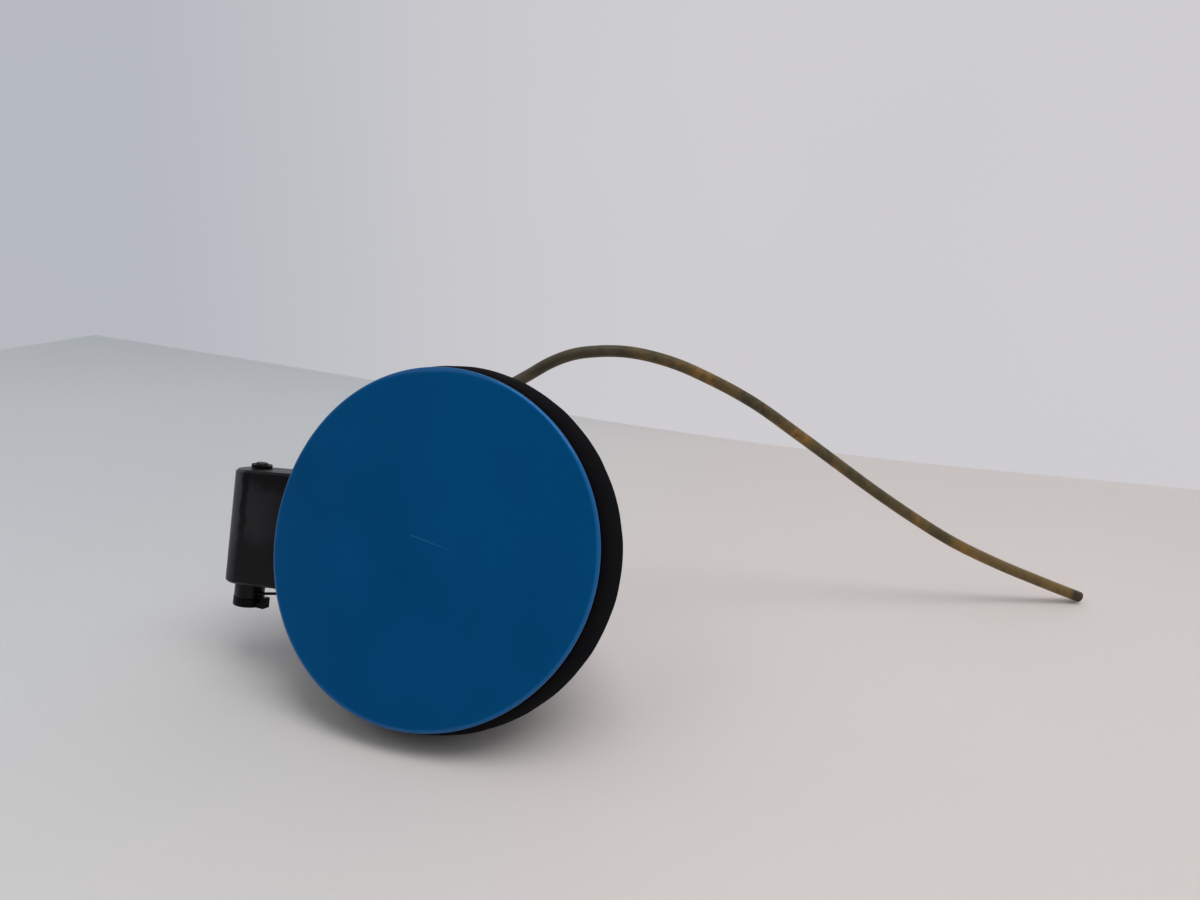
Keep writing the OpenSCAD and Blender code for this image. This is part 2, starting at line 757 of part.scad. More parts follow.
// Ledge inside the mouth that carries a buffer, with a hollow behind it for the buffer's head
module buffer_post(sign) {
    intersection() {
        at_buffer(sign) translate([-ledge_w / 2, -ledge_w / 2, -ledge_t]) cube([mouth_r, ledge_w, ledge_t]);
        outward() cylinder(r = mouth_r - 0.5, h = bowl_depth);
    }
}

// Thicker pads round the three fixing holes, inside the floor
module fixing_pads() {
    for (a = [90 : 120 : 330]) rotate([0, a, 0])
        translate([fixing_circle_r, 0, 0]) rotate([90, 0, 0]) cylinder(r = 8, h = wall + 2);
}

// Ribs between the neck's collar and the edge of the floor, on the back
module bowl_ribs() {
    rib_len = floor_r - 5 - neck_hole_r - wall / 2;
    for (i = [0 : rib_count - 1]) rotate([0, 360 * (i + 0.5) / rib_count, 0])
        translate([neck_hole_r + wall / 2, -0.5, -0.9]) cube([rib_len, rib_h + 0.5, 1.8]);
}

// Moulded wedges that snap behind the edge of the car's opening
module snap_tabs() {
    for (a = [40, 140, 270]) rotate([0, -a, 0])
        translate([mouth_r - 1, skin_y(mouth_gap - 2.4 + seal_l, mouth_r * cos(a)) + 2, -5]) hull() {
            cube([1, 14, 10]);
            translate([0, 3, 0]) cube([3.6, 1, 10]);
        }
}

flap_skin();
flap_inner_panel();
hinge_arm();
arm_screw_upper();
arm_screw_lower();
latch_striker();
striker_screws();
cap_rest();
hinge_pin();
pin_cap();
bowl();
hinge_pocket();
rim_seal();
neck_grommet();
lock_bush();
buffer_upper();
buffer_lower();
pin_bush();
hinge_spring();
drain_spigot();
drain_hose();
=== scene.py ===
import math

import bmesh
import bpy
from mathutils import Matrix, Vector


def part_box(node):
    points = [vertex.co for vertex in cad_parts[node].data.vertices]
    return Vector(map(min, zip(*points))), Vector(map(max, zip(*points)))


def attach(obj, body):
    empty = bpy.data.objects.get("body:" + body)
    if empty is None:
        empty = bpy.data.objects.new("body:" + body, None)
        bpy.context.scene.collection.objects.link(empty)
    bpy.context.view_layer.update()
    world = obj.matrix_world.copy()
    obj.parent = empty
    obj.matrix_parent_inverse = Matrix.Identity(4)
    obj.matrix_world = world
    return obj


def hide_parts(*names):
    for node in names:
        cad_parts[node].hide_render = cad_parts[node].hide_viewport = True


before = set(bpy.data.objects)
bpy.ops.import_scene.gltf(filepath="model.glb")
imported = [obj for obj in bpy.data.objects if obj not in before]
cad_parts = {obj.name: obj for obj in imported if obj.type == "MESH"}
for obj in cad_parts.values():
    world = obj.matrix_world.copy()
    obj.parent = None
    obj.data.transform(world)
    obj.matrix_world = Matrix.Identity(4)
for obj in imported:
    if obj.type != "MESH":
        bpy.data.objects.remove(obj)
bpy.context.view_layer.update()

MM = 0.001

# Values repeated from the CAD source, in millimetres and degrees
FACE_Y = -72.0
CURVE_R = 520.0
FLAP_R = 82.0
SKIN_T = 0.8
FIT = 0.1
HEM_DEPTH = 2.8
HEM_W = 8.0
MOUTH_R = 81.0
MOUTH_IN_R = 78.4
MOUTH_GAP = 9.0
SEAL_R = 86.3
SEAL_L = 16.5
SEAL_FROM, SEAL_TO = -149.0, 162.0
HINGE = Vector((-108.6, -43.5, -11.3))
HINGE_LEAN = 9.5
BOSS_END = -32.6
WIRE_R = 0.75
COIL_R = 5.7
COIL_H = 3.3
LEG_ANGLE = 45.0
LEG_L = 28.0
NECK_BORE_R = 27.0
BUFFER_LEDGE = 14.0
HOSE_D = 6.5
ROUTE = [
    [-15, -4, 74], [-11, 2.5, 81.5], [-5.5, 9.5, 89], [1, 13, 95.5], [11, 14, 103.5],
    [22, 16.5, 110], [34, 20, 114], [46, 24.5, 116.5], [70, 35.5, 116.5], [93.5, 48, 111.5],
    [116.5, 61.5, 104], [139, 76, 93.5], [161.5, 91, 82.5], [185, 106.5, 71], [209.5, 122, 60],
    [235, 137.5, 50], [262, 153, 42.5], [290, 168, 36.5], [316, 182, 31.5],
]

# Values of the visual alone, in millimetres
FACE_RINGS = (0.0, 12, 24, 36, 46, 54, 62, 68, 73, 76, 78)
HEM_CLEAR = 0.02
HEM_DRAWN = 1.4
SEAL_WAVE = 0.22
HOSE_CHAMFER_R = 0.35
HOSE_CHAMFER_L = 0.4
HOSE_BORE_R = 2.1
# Rings of the bore: the share of its radius, and how far each lies inside the cut end
HOSE_BORE = ((1.0, 0.0), (0.96, 3.0), (0.9, 9.0))
WIRE_END_R = 0.6

# Numbers of sides and steps of the turned and swept pieces
SKIN_SIDES = 256
HEM_STEPS = 16
SEAL_STEPS = 300
GROMMET_SIDES = 160
BUFFER_SIDES = 48
HOSE_SIDES = 28
HOSE_STEPS = 8
WIRE_SIDES = 14
COIL_STEPS = 64
LEG_STEPS = 12
BACKDROP_STEPS = 6

# Angles above which an edge stays sharp, for the pieces made here and for the CAD's own
SHARP_MADE = 40.0
SHARP_CAD = 28.0

# Share of a side that a rounded corner may use up, and the radius below which a ring is a point
CORNER_SHARE = 0.48
POINT_R = 1e-6


# Small helpers

def srgb(r, g, b):
    """An 8-bit display colour as linear values for a shader socket."""
    def lin(c):
        c /= 255.0
        return c / 12.92 if c <= 0.04045 else ((c + 0.055) / 1.055) ** 2.4
    return (lin(r), lin(g), lin(b), 1.0)


def skin_y(depth, x):
    """Y of the surface a given depth behind the flap's outer face."""
    return FACE_Y + CURVE_R - math.sqrt((CURVE_R - depth) ** 2 - x * x)


def at_hinge(x, y, z):
    """A point of the hinge's own frame in the row frame."""
    a = math.radians(HINGE_LEAN)
    leaned = Vector((x, y * math.cos(a) - z * math.sin(a), y * math.sin(a) + z * math.cos(a)))
    return HINGE + leaned


def rounded(points, radii, closed=False, steps=5):
    """A 2-D outline with its corners rounded by the given radii."""
    out = []
    n = len(points)
    for i, (p, r) in enumerate(zip(points, radii)):
        if r <= 0 or (not closed and i in (0, n - 1)):
            out.append(tuple(p))
            continue
        p = Vector(p)
        a, b = Vector(points[i - 1]) - p, Vector(points[(i + 1) % n]) - p
        cut = min(r, a.length * CORNER_SHARE, b.length * CORNER_SHARE)
        start, end = p + a.normalized() * cut, p + b.normalized() * cut
        for k in range(steps + 1):
            t = k / steps
            out.append(tuple(start * (1 - t) ** 2 + p * 2 * t * (1 - t) + end * t * t))
    return out


def smooth_line(points, steps):
    """A smooth curve through the points, its tangents weighted by the spans beside them."""
    p = [Vector(q) for q in points]
    spans = [(b - a).length for a, b in zip(p, p[1:])]
    slopes = [(b - a) / d for a, b, d in zip(p, p[1:], spans)]
    inner = [(slopes[i] * spans[i + 1] + slopes[i + 1] * spans[i]) / (spans[i] + spans[i + 1])
             for i in range(len(spans) - 1)]
    tangents = [slopes[0]] + inner + [slopes[-1]]
    out = []
    for i, d in enumerate(spans):
        for k in range(steps):
            t = k / steps
            out.append(p[i] * (2 * t ** 3 - 3 * t * t + 1)
                       + tangents[i] * d * (t ** 3 - 2 * t * t + t)
                       + p[i + 1] * (3 * t * t - 2 * t ** 3)
                       + tangents[i + 1] * d * (t ** 3 - t * t))
    out.append(p[-1])
    return out


def new_object(name, verts, faces, body, material, replaces):
    """A smooth piece that rides a body, fills a material slot and replaces CAD nodes."""
    mesh = bpy.data.meshes.new(name)
    mesh.from_pydata([tuple(v) for v in verts], [], faces)
    mesh.validate()
    bm = bmesh.new()
    bm.from_mesh(mesh)
    bmesh.ops.recalc_face_normals(bm, faces=bm.faces)
    bm.to_mesh(mesh)
    bm.free()
    smooth_shading(mesh, SHARP_MADE)
    obj = bpy.data.objects.new(name, mesh)
    bpy.context.scene.collection.objects.link(obj)
    obj.data.materials.append(material)
    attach(obj, body)
    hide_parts(*replaces)
    return obj


def smooth_shading(mesh, sharp):
    for p in mesh.polygons:
        p.use_smooth = True
    mesh.set_sharp_from_angle(angle=math.radians(sharp))


def ring_faces(a, b):
    """The quads between two rings of as many vertices."""
    n = len(a)
    return [(a[k], b[k], b[(k + 1) % n], a[(k + 1) % n]) for k in range(n)]


def lathe(profile, place, segments, closed):
    """Vertices and faces of a (radius, height) profile turned round an axis.

    place maps (radius, height, angle) to a point. A radius of 0 gives one vertex.
    """
    verts, rings = [], []
    for r, h in profile:
        if r < POINT_R:
            rings.append([len(verts)])
            verts.append(place(0.0, h, 0.0))
            continue
        rings.append(list(range(len(verts), len(verts) + segments)))
        verts.extend(place(r, h, 2 * math.pi * k / segments) for k in range(segments))
    faces = []
    for a, b in list(zip(rings, rings[1:])) + ([(rings[-1], rings[0])] if closed else []):
        if len(a) == 1:
            faces.extend((a[0], b[k], b[(k + 1) % segments]) for k in range(segments))
        elif len(b) == 1:
            faces.extend((a[k], b[0], a[(k + 1) % segments]) for k in range(segments))
        else:
            faces.extend(ring_faces(a, b))
    return verts, faces


def sweep(path, radii, sides, closed_ends):
    """Vertices and faces of a round tube along path, with one radius for each of its points."""
    n = len(path)
    heads = [(path[min(i + 1, n - 1)] - path[max(i - 1, 0)]).normalized() for i in range(n)]
    u = heads[0].cross(Vector((0, 0, 1))).normalized()
    verts, rings = [], []
    for p, t, r in zip(path, heads, radii):
        u = (u - t * u.dot(t)).normalized()
        v = t.cross(u)
        rings.append(list(range(len(verts), len(verts) + sides)))
        verts.extend(p + u * a + v * b for a, b in circle(r, sides))
    faces = [face for a, b in zip(rings, rings[1:]) for face in ring_faces(a, b)]
    if closed_ends:
        faces.append(tuple(reversed(rings[0])))
        faces.append(tuple(rings[-1]))
    return verts, faces


def circle(r, sides):
    angles = [2 * math.pi * k / sides for k in range(sides)]
    return [(r * math.cos(a), r * math.sin(a)) for a in angles]


# Camera

CAMERA_AT = Vector((0.189, -0.4388, 0.0356))
FORWARD = Vector((-0.29771201, 0.95313844, 0.05380217))
UP = Vector((-0.16197569, -0.10597282, 0.98108799))
RIGHT = FORWARD.cross(UP)

cam_data = bpy.data.cameras.new("camera")
cam_data.sensor_width = 36.0
cam_data.lens = 27.03
cam_data.clip_start = 0.01
cam_data.clip_end = 20.0
cam = bpy.data.objects.new("camera", cam_data)
cam.matrix_world = Matrix((
    (RIGHT.x, UP.x, -FORWARD.x, CAMERA_AT.x),
    (RIGHT.y, UP.y, -FORWARD.y, CAMERA_AT.y),
    (RIGHT.z, UP.z, -FORWARD.z, CAMERA_AT.z),
    (0, 0, 0, 1),
))
bpy.context.scene.collection.objects.link(cam)
bpy.context.scene.camera = cam


# Materials

def feed(tree, socket, value):
    """Links a socket, or sets a value, to an input socket."""
    if isinstance(value, bpy.types.NodeSocket):
        tree.links.new(value, socket)
    else:
        socket.default_value = value


def add_node(tree, kind, inputs=None, **props):
    node = tree.nodes.new(kind)
    for key, value in props.items():
        setattr(node, key, value)
    for key, value in (inputs or {}).items():
        feed(tree, node.inputs[key], value)
    return node


class Nodes:
    """A new material with a Principled shader, and short ways to add nodes."""

    def __init__(self, name, level, **values):
        self.material = bpy.data.materials.new(name)
        self.material.use_nodes = True
        self.tree = self.material.node_tree
        self.shader = self.tree.nodes["Principled BSDF"]
        self.output = self.tree.nodes["Material Output"]
        for key, value in values.items():
            self.shader.inputs[key.replace("_", " ")].default_value = value
        if level is not None:
            self.shader.inputs["Specular IOR Level"].default_value = level
        self.coords = self.add("ShaderNodeTexCoord").outputs["Object"]

    def add(self, kind, inputs=None, **props):
        return add_node(self.tree, kind, inputs, **props)

    def link(self, socket, name):
        self.tree.links.new(socket, self.shader.inputs[name])

    def noise(self, scale, detail=3.0, rough=0.5, stretch=(1, 1, 1), offset=(0, 0, 0)):
        mapped = self.add("ShaderNodeMapping", {
            "Vector": self.coords, "Scale": stretch, "Location": offset,
        })
        return self.add("ShaderNodeTexNoise", {
            "Vector": mapped.outputs[0], "Scale": scale, "Detail": detail, "Roughness": rough,
        }).outputs["Fac"]

    def ramp(self, fac, stops):
        node = self.add("ShaderNodeValToRGB", {"Fac": fac})
        ramp = node.color_ramp
        while len(ramp.elements) < len(stops):
            ramp.elements.new(0.5)
        for e, (pos, colour) in zip(ramp.elements, stops):
            e.position = pos
            e.color = colour
        return node.outputs["Color"]

    def span(self, value, a, b, low=0.0, high=1.0):
        """A soft step from low at a to high at b."""
        return self.add("ShaderNodeMapRange", {
            "Value": value, "From Min": a, "From Max": b, "To Min": low, "To Max": high,
        }, interpolation_type="SMOOTHSTEP").outputs["Result"]

    def maths(self, operation, a, b=0.0):
        return self.add("ShaderNodeMath", {0: a, 1: b}, operation=operation).outputs[0]

    def times(self, first, *others):
        for other in others:
            first = self.maths("MULTIPLY", first, other)
        return first

    def away_from(self, value, middle):
        """How far a value is from the middle, without its sign."""
        return self.maths("ABSOLUTE", self.maths("SUBTRACT", value, middle))

    def minus(self, vector, point):
        return self.add("ShaderNodeVectorMath", {0: vector, 1: point},
                        operation="SUBTRACT").outputs[0]

    def part_along(self, vector, axis):
        return self.add("ShaderNodeVectorMath", {0: vector, 1: axis},
                        operation="DOT_PRODUCT").outputs["Value"]

    def along_x(self):
        return self.add("ShaderNodeSeparateXYZ", {0: self.coords}).outputs[0]

    def mix(self, fac, a, b):
        node = self.add("ShaderNodeMix", {"Factor": fac}, data_type="RGBA")
        for name, value in (("A", a), ("B", b)):
            feed(self.tree, next(s for s in node.inputs if s.name == name and s.type == "RGBA"),
                 value)
        return next(s for s in node.outputs if s.type == "RGBA")

    def bump(self, height, strength, distance, normal=None):
        node = self.add("ShaderNodeBump", {
            "Height": height, "Strength": strength, "Distance": distance,
        })
        if normal is not None:
            self.tree.links.new(normal, node.inputs["Normal"])
        return node.outputs["Normal"]

    def soft_edges(self, radius):
        return self.add("ShaderNodeBevel", {"Radius": radius}, samples=6).outputs[0]


def paint_material():
    m = Nodes("blue_paint", 0.04, Roughness=0.4, Metallic=0.5, Coat_Weight=0.4,
              Coat_Roughness=0.07)
    # Slow drift of the blue, and fine metallic grain in it
    colour = m.ramp(m.noise(9.0, 2.0), [(0.3, srgb(0, 92, 153)), (0.7, srgb(0, 97, 161))])
    grain = m.span(m.noise(2600.0, 2.0), 0.35, 0.75, 0.0, 0.035)
    colour = m.mix(grain, colour, srgb(10, 120, 180))
    # A thin old scratch near the middle, with a slight bow, faint gaps and a fading end
    start = m.minus(m.coords, (-0.0063, -0.072, 0.0039))
    reach = m.part_along(start, (0.987, 0.0, -0.160))
    aside = m.part_along(start, (0.160, 0.0, 0.987))
    bow = m.times(m.maths("SINE", m.times(reach, 128.0)), 0.00035)
    line = m.times(
        m.span(m.away_from(aside, bow), 0.00020, 0.00004),
        m.span(reach, -0.0014, 0.0002),
        m.span(reach, 0.026, 0.010),
        m.span(m.noise(420.0, 2.0), 0.30, 0.60),
        0.44,
    )
    m.link(m.mix(line, colour, srgb(105, 190, 225)), "Base Color")
    m.link(m.bump(m.noise(420.0, 2.0), 0.04, 0.0004), "Normal")
    m.link(m.span(m.noise(30.0, 3.0), 0.3, 0.7, 0.38, 0.46), "Roughness")
    return m.material


def panel_paint_material():
    m = Nodes("panel_paint", 0.2, Roughness=0.55)
    colour = m.ramp(m.noise(30.0, 4.0), [
        (0.3, srgb(2, 54, 94)), (0.55, srgb(3, 62, 106)), (0.8, srgb(14, 70, 110)),
    ])
    dust = m.span(m.noise(85.0, 5.0, 0.65), 0.5, 0.72, 0.0, 0.28)
    m.link(m.mix(dust, colour, srgb(100, 112, 118)), "Base Color")
    m.link(m.span(dust, 0.0, 0.28, 0.45, 0.8), "Roughness")
    m.link(m.bump(m.noise(600.0, 3.0), 0.12, 0.0003, m.soft_edges(0.0004)), "Normal")
    return m.material


def plastic_material(name, dark, light, rough, level, grain, dusty, edge, pocket=False):
    """Moulded plastic; grain is the depth of its texture, edge the radius of its soft edges."""
    m = Nodes(name, level, Roughness=rough)
    cloud = m.noise(34.0, 4.0, 0.6)
    colour = m.ramp(cloud, [(0.32, dark), (0.68, light)])
    specks = m.span(m.noise(520.0, 3.0, 0.7), 0.62, 0.74, 0.0, dusty)
    film = m.span(m.noise(16.0, 5.0, 0.62, offset=(3, 1, 7)), 0.48, 0.75, 0.0, dusty * 0.5)
    colour = m.mix(m.maths("MAXIMUM", specks, film), colour, srgb(104, 101, 94))
    # The hinge pocket also gets painted highlights, a painted sheen and painted shade, with dust
    if pocket:
        colour = pocket_dust_and_painted_light(m, colour)
        m.shader.inputs["Coat Weight"].default_value = 0.2
        m.shader.inputs["Coat Roughness"].default_value = 0.24
    m.link(colour, "Base Color")
    m.link(m.span(cloud, 0.3, 0.7, rough - 0.06, rough + 0.08), "Roughness")
    # Spark-eroded grain of the mould, with faint draw lines
    fine = m.bump(m.noise(1900.0, 3.0, 0.6), grain, 0.00025, m.soft_edges(edge))
    drawn = m.noise(260.0, 2.0, 0.5, stretch=(1, 1, 0.06))
    m.link(m.bump(drawn, 0.10, 0.0004, fine), "Normal")
    return m.material


def pocket_dust_and_painted_light(m, colour):
    """Painted light on the pocket and its dust: the round end painted paler, a painted dark shade
    line beside it, a painted sheen on the upper front, and dust with a painted highlight on the
    round side.
    """
    a = math.radians(HINGE_LEAN)
    local = m.minus(m.coords, tuple(HINGE * MM))
    out = m.part_along(local, (1.0, 0.0, 0.0))
    deep = m.part_along(local, (0.0, math.cos(a), math.sin(a)))
    up = m.part_along(local, (0.0, -math.sin(a), math.cos(a)))
    front = m.span(deep, -0.0100, -0.0118)
    # Uneven borders
    stray = m.maths("SUBTRACT", m.noise(75.0, 4.0, 0.6), 0.5)
    up = m.maths("ADD", up, m.times(stray, 0.016))
    sway = m.maths("ADD", out, m.times(stray, 0.008))
    # Painted highlight: the round end is painted paler, most towards the top
    painted_light_end = m.times(
        m.span(sway, 0.0005, -0.0025),
        m.span(up, -0.030, 0.018, 0.35, 1.0),
        0.9,
    )
    colour = m.mix(painted_light_end, colour, srgb(60, 60, 65))
    # Painted reflection: a lighter sheen on the upper part of the flat front
    painted_sheen = m.times(
        m.span(up, -0.011, 0.003),
        m.span(up, 0.0265, 0.0185),
        m.span(sway, 0.0008, 0.0030),
        m.span(sway, 0.024, 0.006, 0.45, 1.0),
        front,
        0.85,
    )
    colour = m.mix(painted_sheen, colour, srgb(43, 40, 45))
    # Painted shade: a near-black line where the round end meets the flat front
    line = m.times(
        m.span(m.away_from(sway, 0.0004), 0.0021, 0.0008),
        m.span(up, -0.012, 0.010),
        front,
        0.9,
    )
    colour = m.mix(line, colour, srgb(3, 3, 5))
    # Dust on the round side, mixed with a painted highlight along that side
    side = m.times(
        m.span(out, -0.0060, -0.0092),
        m.span(m.noise(70.0, 4.0, 0.6), 0.3, 0.6, 0.1, 0.45),
    )
    return m.mix(side, colour, srgb(88, 88, 80))


def rubber_material(name, dark, light, rough, level, bloom_level):
    """Black rubber; bloom_level is how much of its surface has greyed."""
    m = Nodes(name, level, Roughness=rough)
    cloud = m.noise(40.0, 4.0, 0.6)
    colour = m.ramp(cloud, [(0.35, dark), (0.7, light)])
    bloom = m.span(m.noise(130.0, 5.0, 0.7), 0.55, 0.8, 0.0, bloom_level)
    m.link(m.mix(bloom, colour, srgb(60, 60, 62)), "Base Color")
    m.link(m.span(cloud, 0.3, 0.7, rough - 0.08, rough + 0.08), "Roughness")
    m.link(m.bump(m.noise(1500.0, 4.0, 0.6), 0.18, 0.0002), "Normal")
    return m.material


def steel_material(name, colour, rough, stretch):
    """Stained steel, brushed along the axis whose stretch is small."""
    m = Nodes(name, None, Metallic=1.0, Roughness=rough)
    stain = m.span(m.noise(120.0, 4.0, 0.6), 0.5, 0.75, 0.0, 0.35)
    m.link(m.mix(stain, colour, srgb(96, 84, 66)), "Base Color")
    brush = m.noise(700.0, 3.0, 0.6, stretch=stretch)
    m.link(m.span(brush, 0.3, 0.7, rough - 0.08, rough + 0.12), "Roughness")
    m.link(m.bump(brush, 0.15, 0.0001, m.soft_edges(0.0003)), "Normal")
    return m.material


def hose_material():
    m = Nodes("hose_rubber", 0.25, Roughness=0.42, Sheen_Weight=0.8, Sheen_Roughness=0.3,
              Sheen_Tint=srgb(205, 188, 150))
    # Amber stains over olive brown
    stains = m.ramp(m.noise(58.0, 4.0, 0.6, stretch=(1, 0.7, 0.7)), [
        (0.36, srgb(68, 60, 40)), (0.47, srgb(88, 76, 48)),
        (0.56, srgb(106, 86, 48)), (0.66, srgb(148, 106, 48)),
    ])
    # More amber towards the bare end, darker blotches, a greyer stretch at the bowl, a dark tip
    x = m.along_x()
    stains = m.mix(m.span(x, 0.21, 0.28, 0.0, 0.45), stains, srgb(142, 112, 62))
    blotch = m.span(m.noise(190.0, 4.0, 0.65, offset=(5, 2, 1)), 0.54, 0.68, 0.0, 0.6)
    colour = m.mix(blotch, stains, srgb(50, 45, 31))
    colour = m.mix(m.span(x, 0.085, 0.0, 0.0, 0.85), colour, srgb(80, 75, 62))
    tip = m.span(x, 0.3085, 0.3120, 0.0, 0.8)
    m.link(m.mix(tip, colour, srgb(38, 34, 28)), "Base Color")
    m.link(m.span(m.noise(90.0, 3.0), 0.3, 0.7, 0.34, 0.52), "Roughness")
    m.link(m.bump(m.noise(700.0, 4.0, 0.6), 0.2, 0.0003), "Normal")
    return m.material


paint = paint_material()
panel_paint = panel_paint_material()
bowl_plastic = plastic_material(
    "bowl_plastic", srgb(17, 17, 20), srgb(27, 26, 30),
    rough=0.46, level=0.25, grain=0.25, dusty=0.14, edge=0.0006)
pocket_plastic = plastic_material(
    "pocket_plastic", srgb(6, 6, 9), srgb(13, 13, 17),
    rough=0.44, level=0.11, grain=0.22, dusty=0.10, edge=0.0009, pocket=True)
arm_plastic = plastic_material(
    "arm_plastic", srgb(24, 24, 26), srgb(34, 34, 36),
    rough=0.50, level=0.3, grain=0.30, dusty=0.12, edge=0.0005)
cap_plastic = plastic_material(
    "cap_plastic", srgb(6, 6, 8), srgb(11, 11, 13),
    rough=0.46, level=0.12, grain=0.22, dusty=0.08, edge=0.0004)
seal_rubber = rubber_material(
    "seal_rubber", srgb(10, 10, 13), srgb(15, 14, 18), rough=0.88, level=0.05, bloom_level=0.05)
grommet_rubber = rubber_material(
    "grommet_rubber", srgb(13, 13, 14), srgb(21, 20, 21), rough=0.62, level=0.25,
    bloom_level=0.12)
screw_steel = steel_material("screw_steel", srgb(176, 178, 182), 0.34, (1, 1, 1))
pin_steel = steel_material("pin_steel", srgb(46, 46, 48), 0.42, (1, 1, 0.08))
spring_steel = steel_material("spring_steel", srgb(50, 49, 48), 0.45, (0.2, 0.2, 1))
hose_rubber = hose_material()

# CAD nodes that are shown as they are
LOOKS = {
    "flap_inner_panel": panel_paint,
    "hinge_arm": arm_plastic,
    "arm_screw_upper": screw_steel,
    "arm_screw_lower": screw_steel,
    "latch_striker": arm_plastic,
    "striker_screws": screw_steel,
    "cap_rest": arm_plastic,
    "hinge_pin": pin_steel,
    "pin_cap": cap_plastic,
    "bowl": bowl_plastic,
    "hinge_pocket": pocket_plastic,
    "lock_bush": cap_plastic,
    "pin_bush": cap_plastic,
    "drain_spigot": cap_plastic,
}
for node, look in LOOKS.items():
    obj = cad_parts[node]
    if not obj.data.materials:
        obj.data.materials.append(look)
    for material_slot in obj.material_slots:
        material_slot.material = look
    smooth_shading(obj.data, SHARP_CAD)


# Drain hose

def make_hose():
    line = smooth_line([Vector(p) * MM for p in ROUTE], HOSE_STEPS)
    # One more ring just before the cut end, for its chamfer
    ahead = (line[-1] - line[-2]).normalized()
    path = line[:-1] + [line[-1] - ahead * HOSE_CHAMFER_L * MM, line[-1]]
    radius = HOSE_D / 2 * MM
    radii = [radius] * (len(path) - 1) + [radius - HOSE_CHAMFER_R * MM]
    verts, faces = sweep(path, radii, HOSE_SIDES, closed_ends=False)
    faces.append(tuple(reversed(range(HOSE_SIDES))))
    # The bore that shows at the cut end
    ring = list(range(len(verts) - HOSE_SIDES, len(verts)))
    u = (verts[ring[0]] - path[-1]).normalized()
    v = ahead.cross(u)
    for share, back in HOSE_BORE:
        centre = path[-1] - ahead * back * MM
        inner = list(range(len(verts), len(verts) + HOSE_SIDES))
        verts.extend(centre + u * a + v * b
                     for a, b in circle(HOSE_BORE_R * share * MM, HOSE_SIDES))
        faces.extend(ring_faces(ring, inner))
        ring = inner
    faces.append(tuple(ring))
    obj = new_object("hose", verts, faces, "housing", hose_rubber, ["drain_hose"])
    length = sum((b - a).length for a, b in zip(line, line[1:]))
    tuple(line[0])
    [tuple(p) for p in line]


make_hose()


# Painted flap

def make_skin():
    outer = [(r, 0.0) for r in FACE_RINGS]
    hem_r = HEM_DEPTH / 2 - HEM_CLEAR
    edge = []
    for k in range(HEM_STEPS + 1):
        a = math.radians(-90 + 180 * k / HEM_STEPS)
        # The front half of the rolled edge is drawn out over the face
        wide = hem_r * (HEM_DRAWN if a < 0 else 1.0)
        edge.append((FLAP_R - wide + wide * math.cos(a),
                     hem_r + HEM_CLEAR + hem_r * math.sin(a)))
    # From the edge over the hem's back and lip into the skin's inner face
    inside_r = FLAP_R - SKIN_T - FIT
    inner = rounded([
        (edge[-1][0], HEM_DEPTH), (FLAP_R - HEM_W, HEM_DEPTH),
        (FLAP_R - HEM_W, HEM_DEPTH - SKIN_T), (inside_r, HEM_DEPTH - SKIN_T),
        (inside_r, SKIN_T), (0.0, SKIN_T),
    ], [0, 0.35, 0.3, 0.2, 0.2, 0], steps=3)

    def place(r, h, a):
        x, z = r * math.cos(a), r * math.sin(a)
        return Vector((x, skin_y(h, x), z)) * MM

    verts, faces = lathe(outer + edge + inner[1:], place, SKIN_SIDES, False)
    new_object("flap_outer_skin", verts, faces, "flap", paint, ["flap_skin"])


make_skin()


# Rubber seal

def seal_wave(a):
    """How far the soft lip stands back at an angle, from 0 to 1."""
    total = 0.55 * math.sin(23 * a + 0.7) + 0.3 * math.sin(41 * a + 2.1)
    total += 0.35 * math.sin(9 * a + 4.0)
    return 0.5 + 0.5 * max(-1.0, min(1.0, total))


def make_seal():
    front, back, seat = MOUTH_GAP - 0.2, MOUTH_GAP - 2.4 + SEAL_L, MOUTH_R + 0.2
    # Radius and depth of the corners: the lip, the outer side, the back edge and the seat
    section = rounded([
        (MOUTH_IN_R, front), (MOUTH_IN_R, front - 1.2), (MOUTH_IN_R + 0.8, front - 2),
        (MOUTH_R + 0.8, front - 2.2), (SEAL_R - 3, front - 0.2), (SEAL_R - 1.4, front + 4.2),
        (SEAL_R - 0.5, back - 5.5), (SEAL_R, back - 2.5), (SEAL_R, back - 1),
        (SEAL_R - 0.7, back), (seat, back), (seat, front),
    ], [0.1, 0.6, 0.8, 2.0, 2.2, 2.5, 2.5, 1.0, 0.6, 0.4, 0.1, 0.1], closed=True, steps=4)
    # The wave grows from the mouth's edge to the seal's outer side
    still_r = MOUTH_R + 1.0
    verts, rings = [], []
    for i in range(SEAL_STEPS + 1):
        a = math.radians(SEAL_FROM + (SEAL_TO - SEAL_FROM) * i / SEAL_STEPS)
        wave = seal_wave(a)
        rings.append(list(range(len(verts), len(verts) + len(section))))
        for r, d in section:
            r -= wave * SEAL_WAVE * max(0.0, (r - still_r) / (SEAL_R - still_r))
            x = r * math.cos(a)
            verts.append(Vector((x, skin_y(d, x), r * math.sin(a))) * MM)
    faces = [face for a, b in zip(rings, rings[1:]) for face in ring_faces(a, b)]
    faces.append(tuple(rings[0]))
    faces.append(tuple(reversed(rings[-1])))
    new_object("seal", verts, faces, "housing", seal_rubber, ["rim_seal"])


make_seal()


# Wire spring

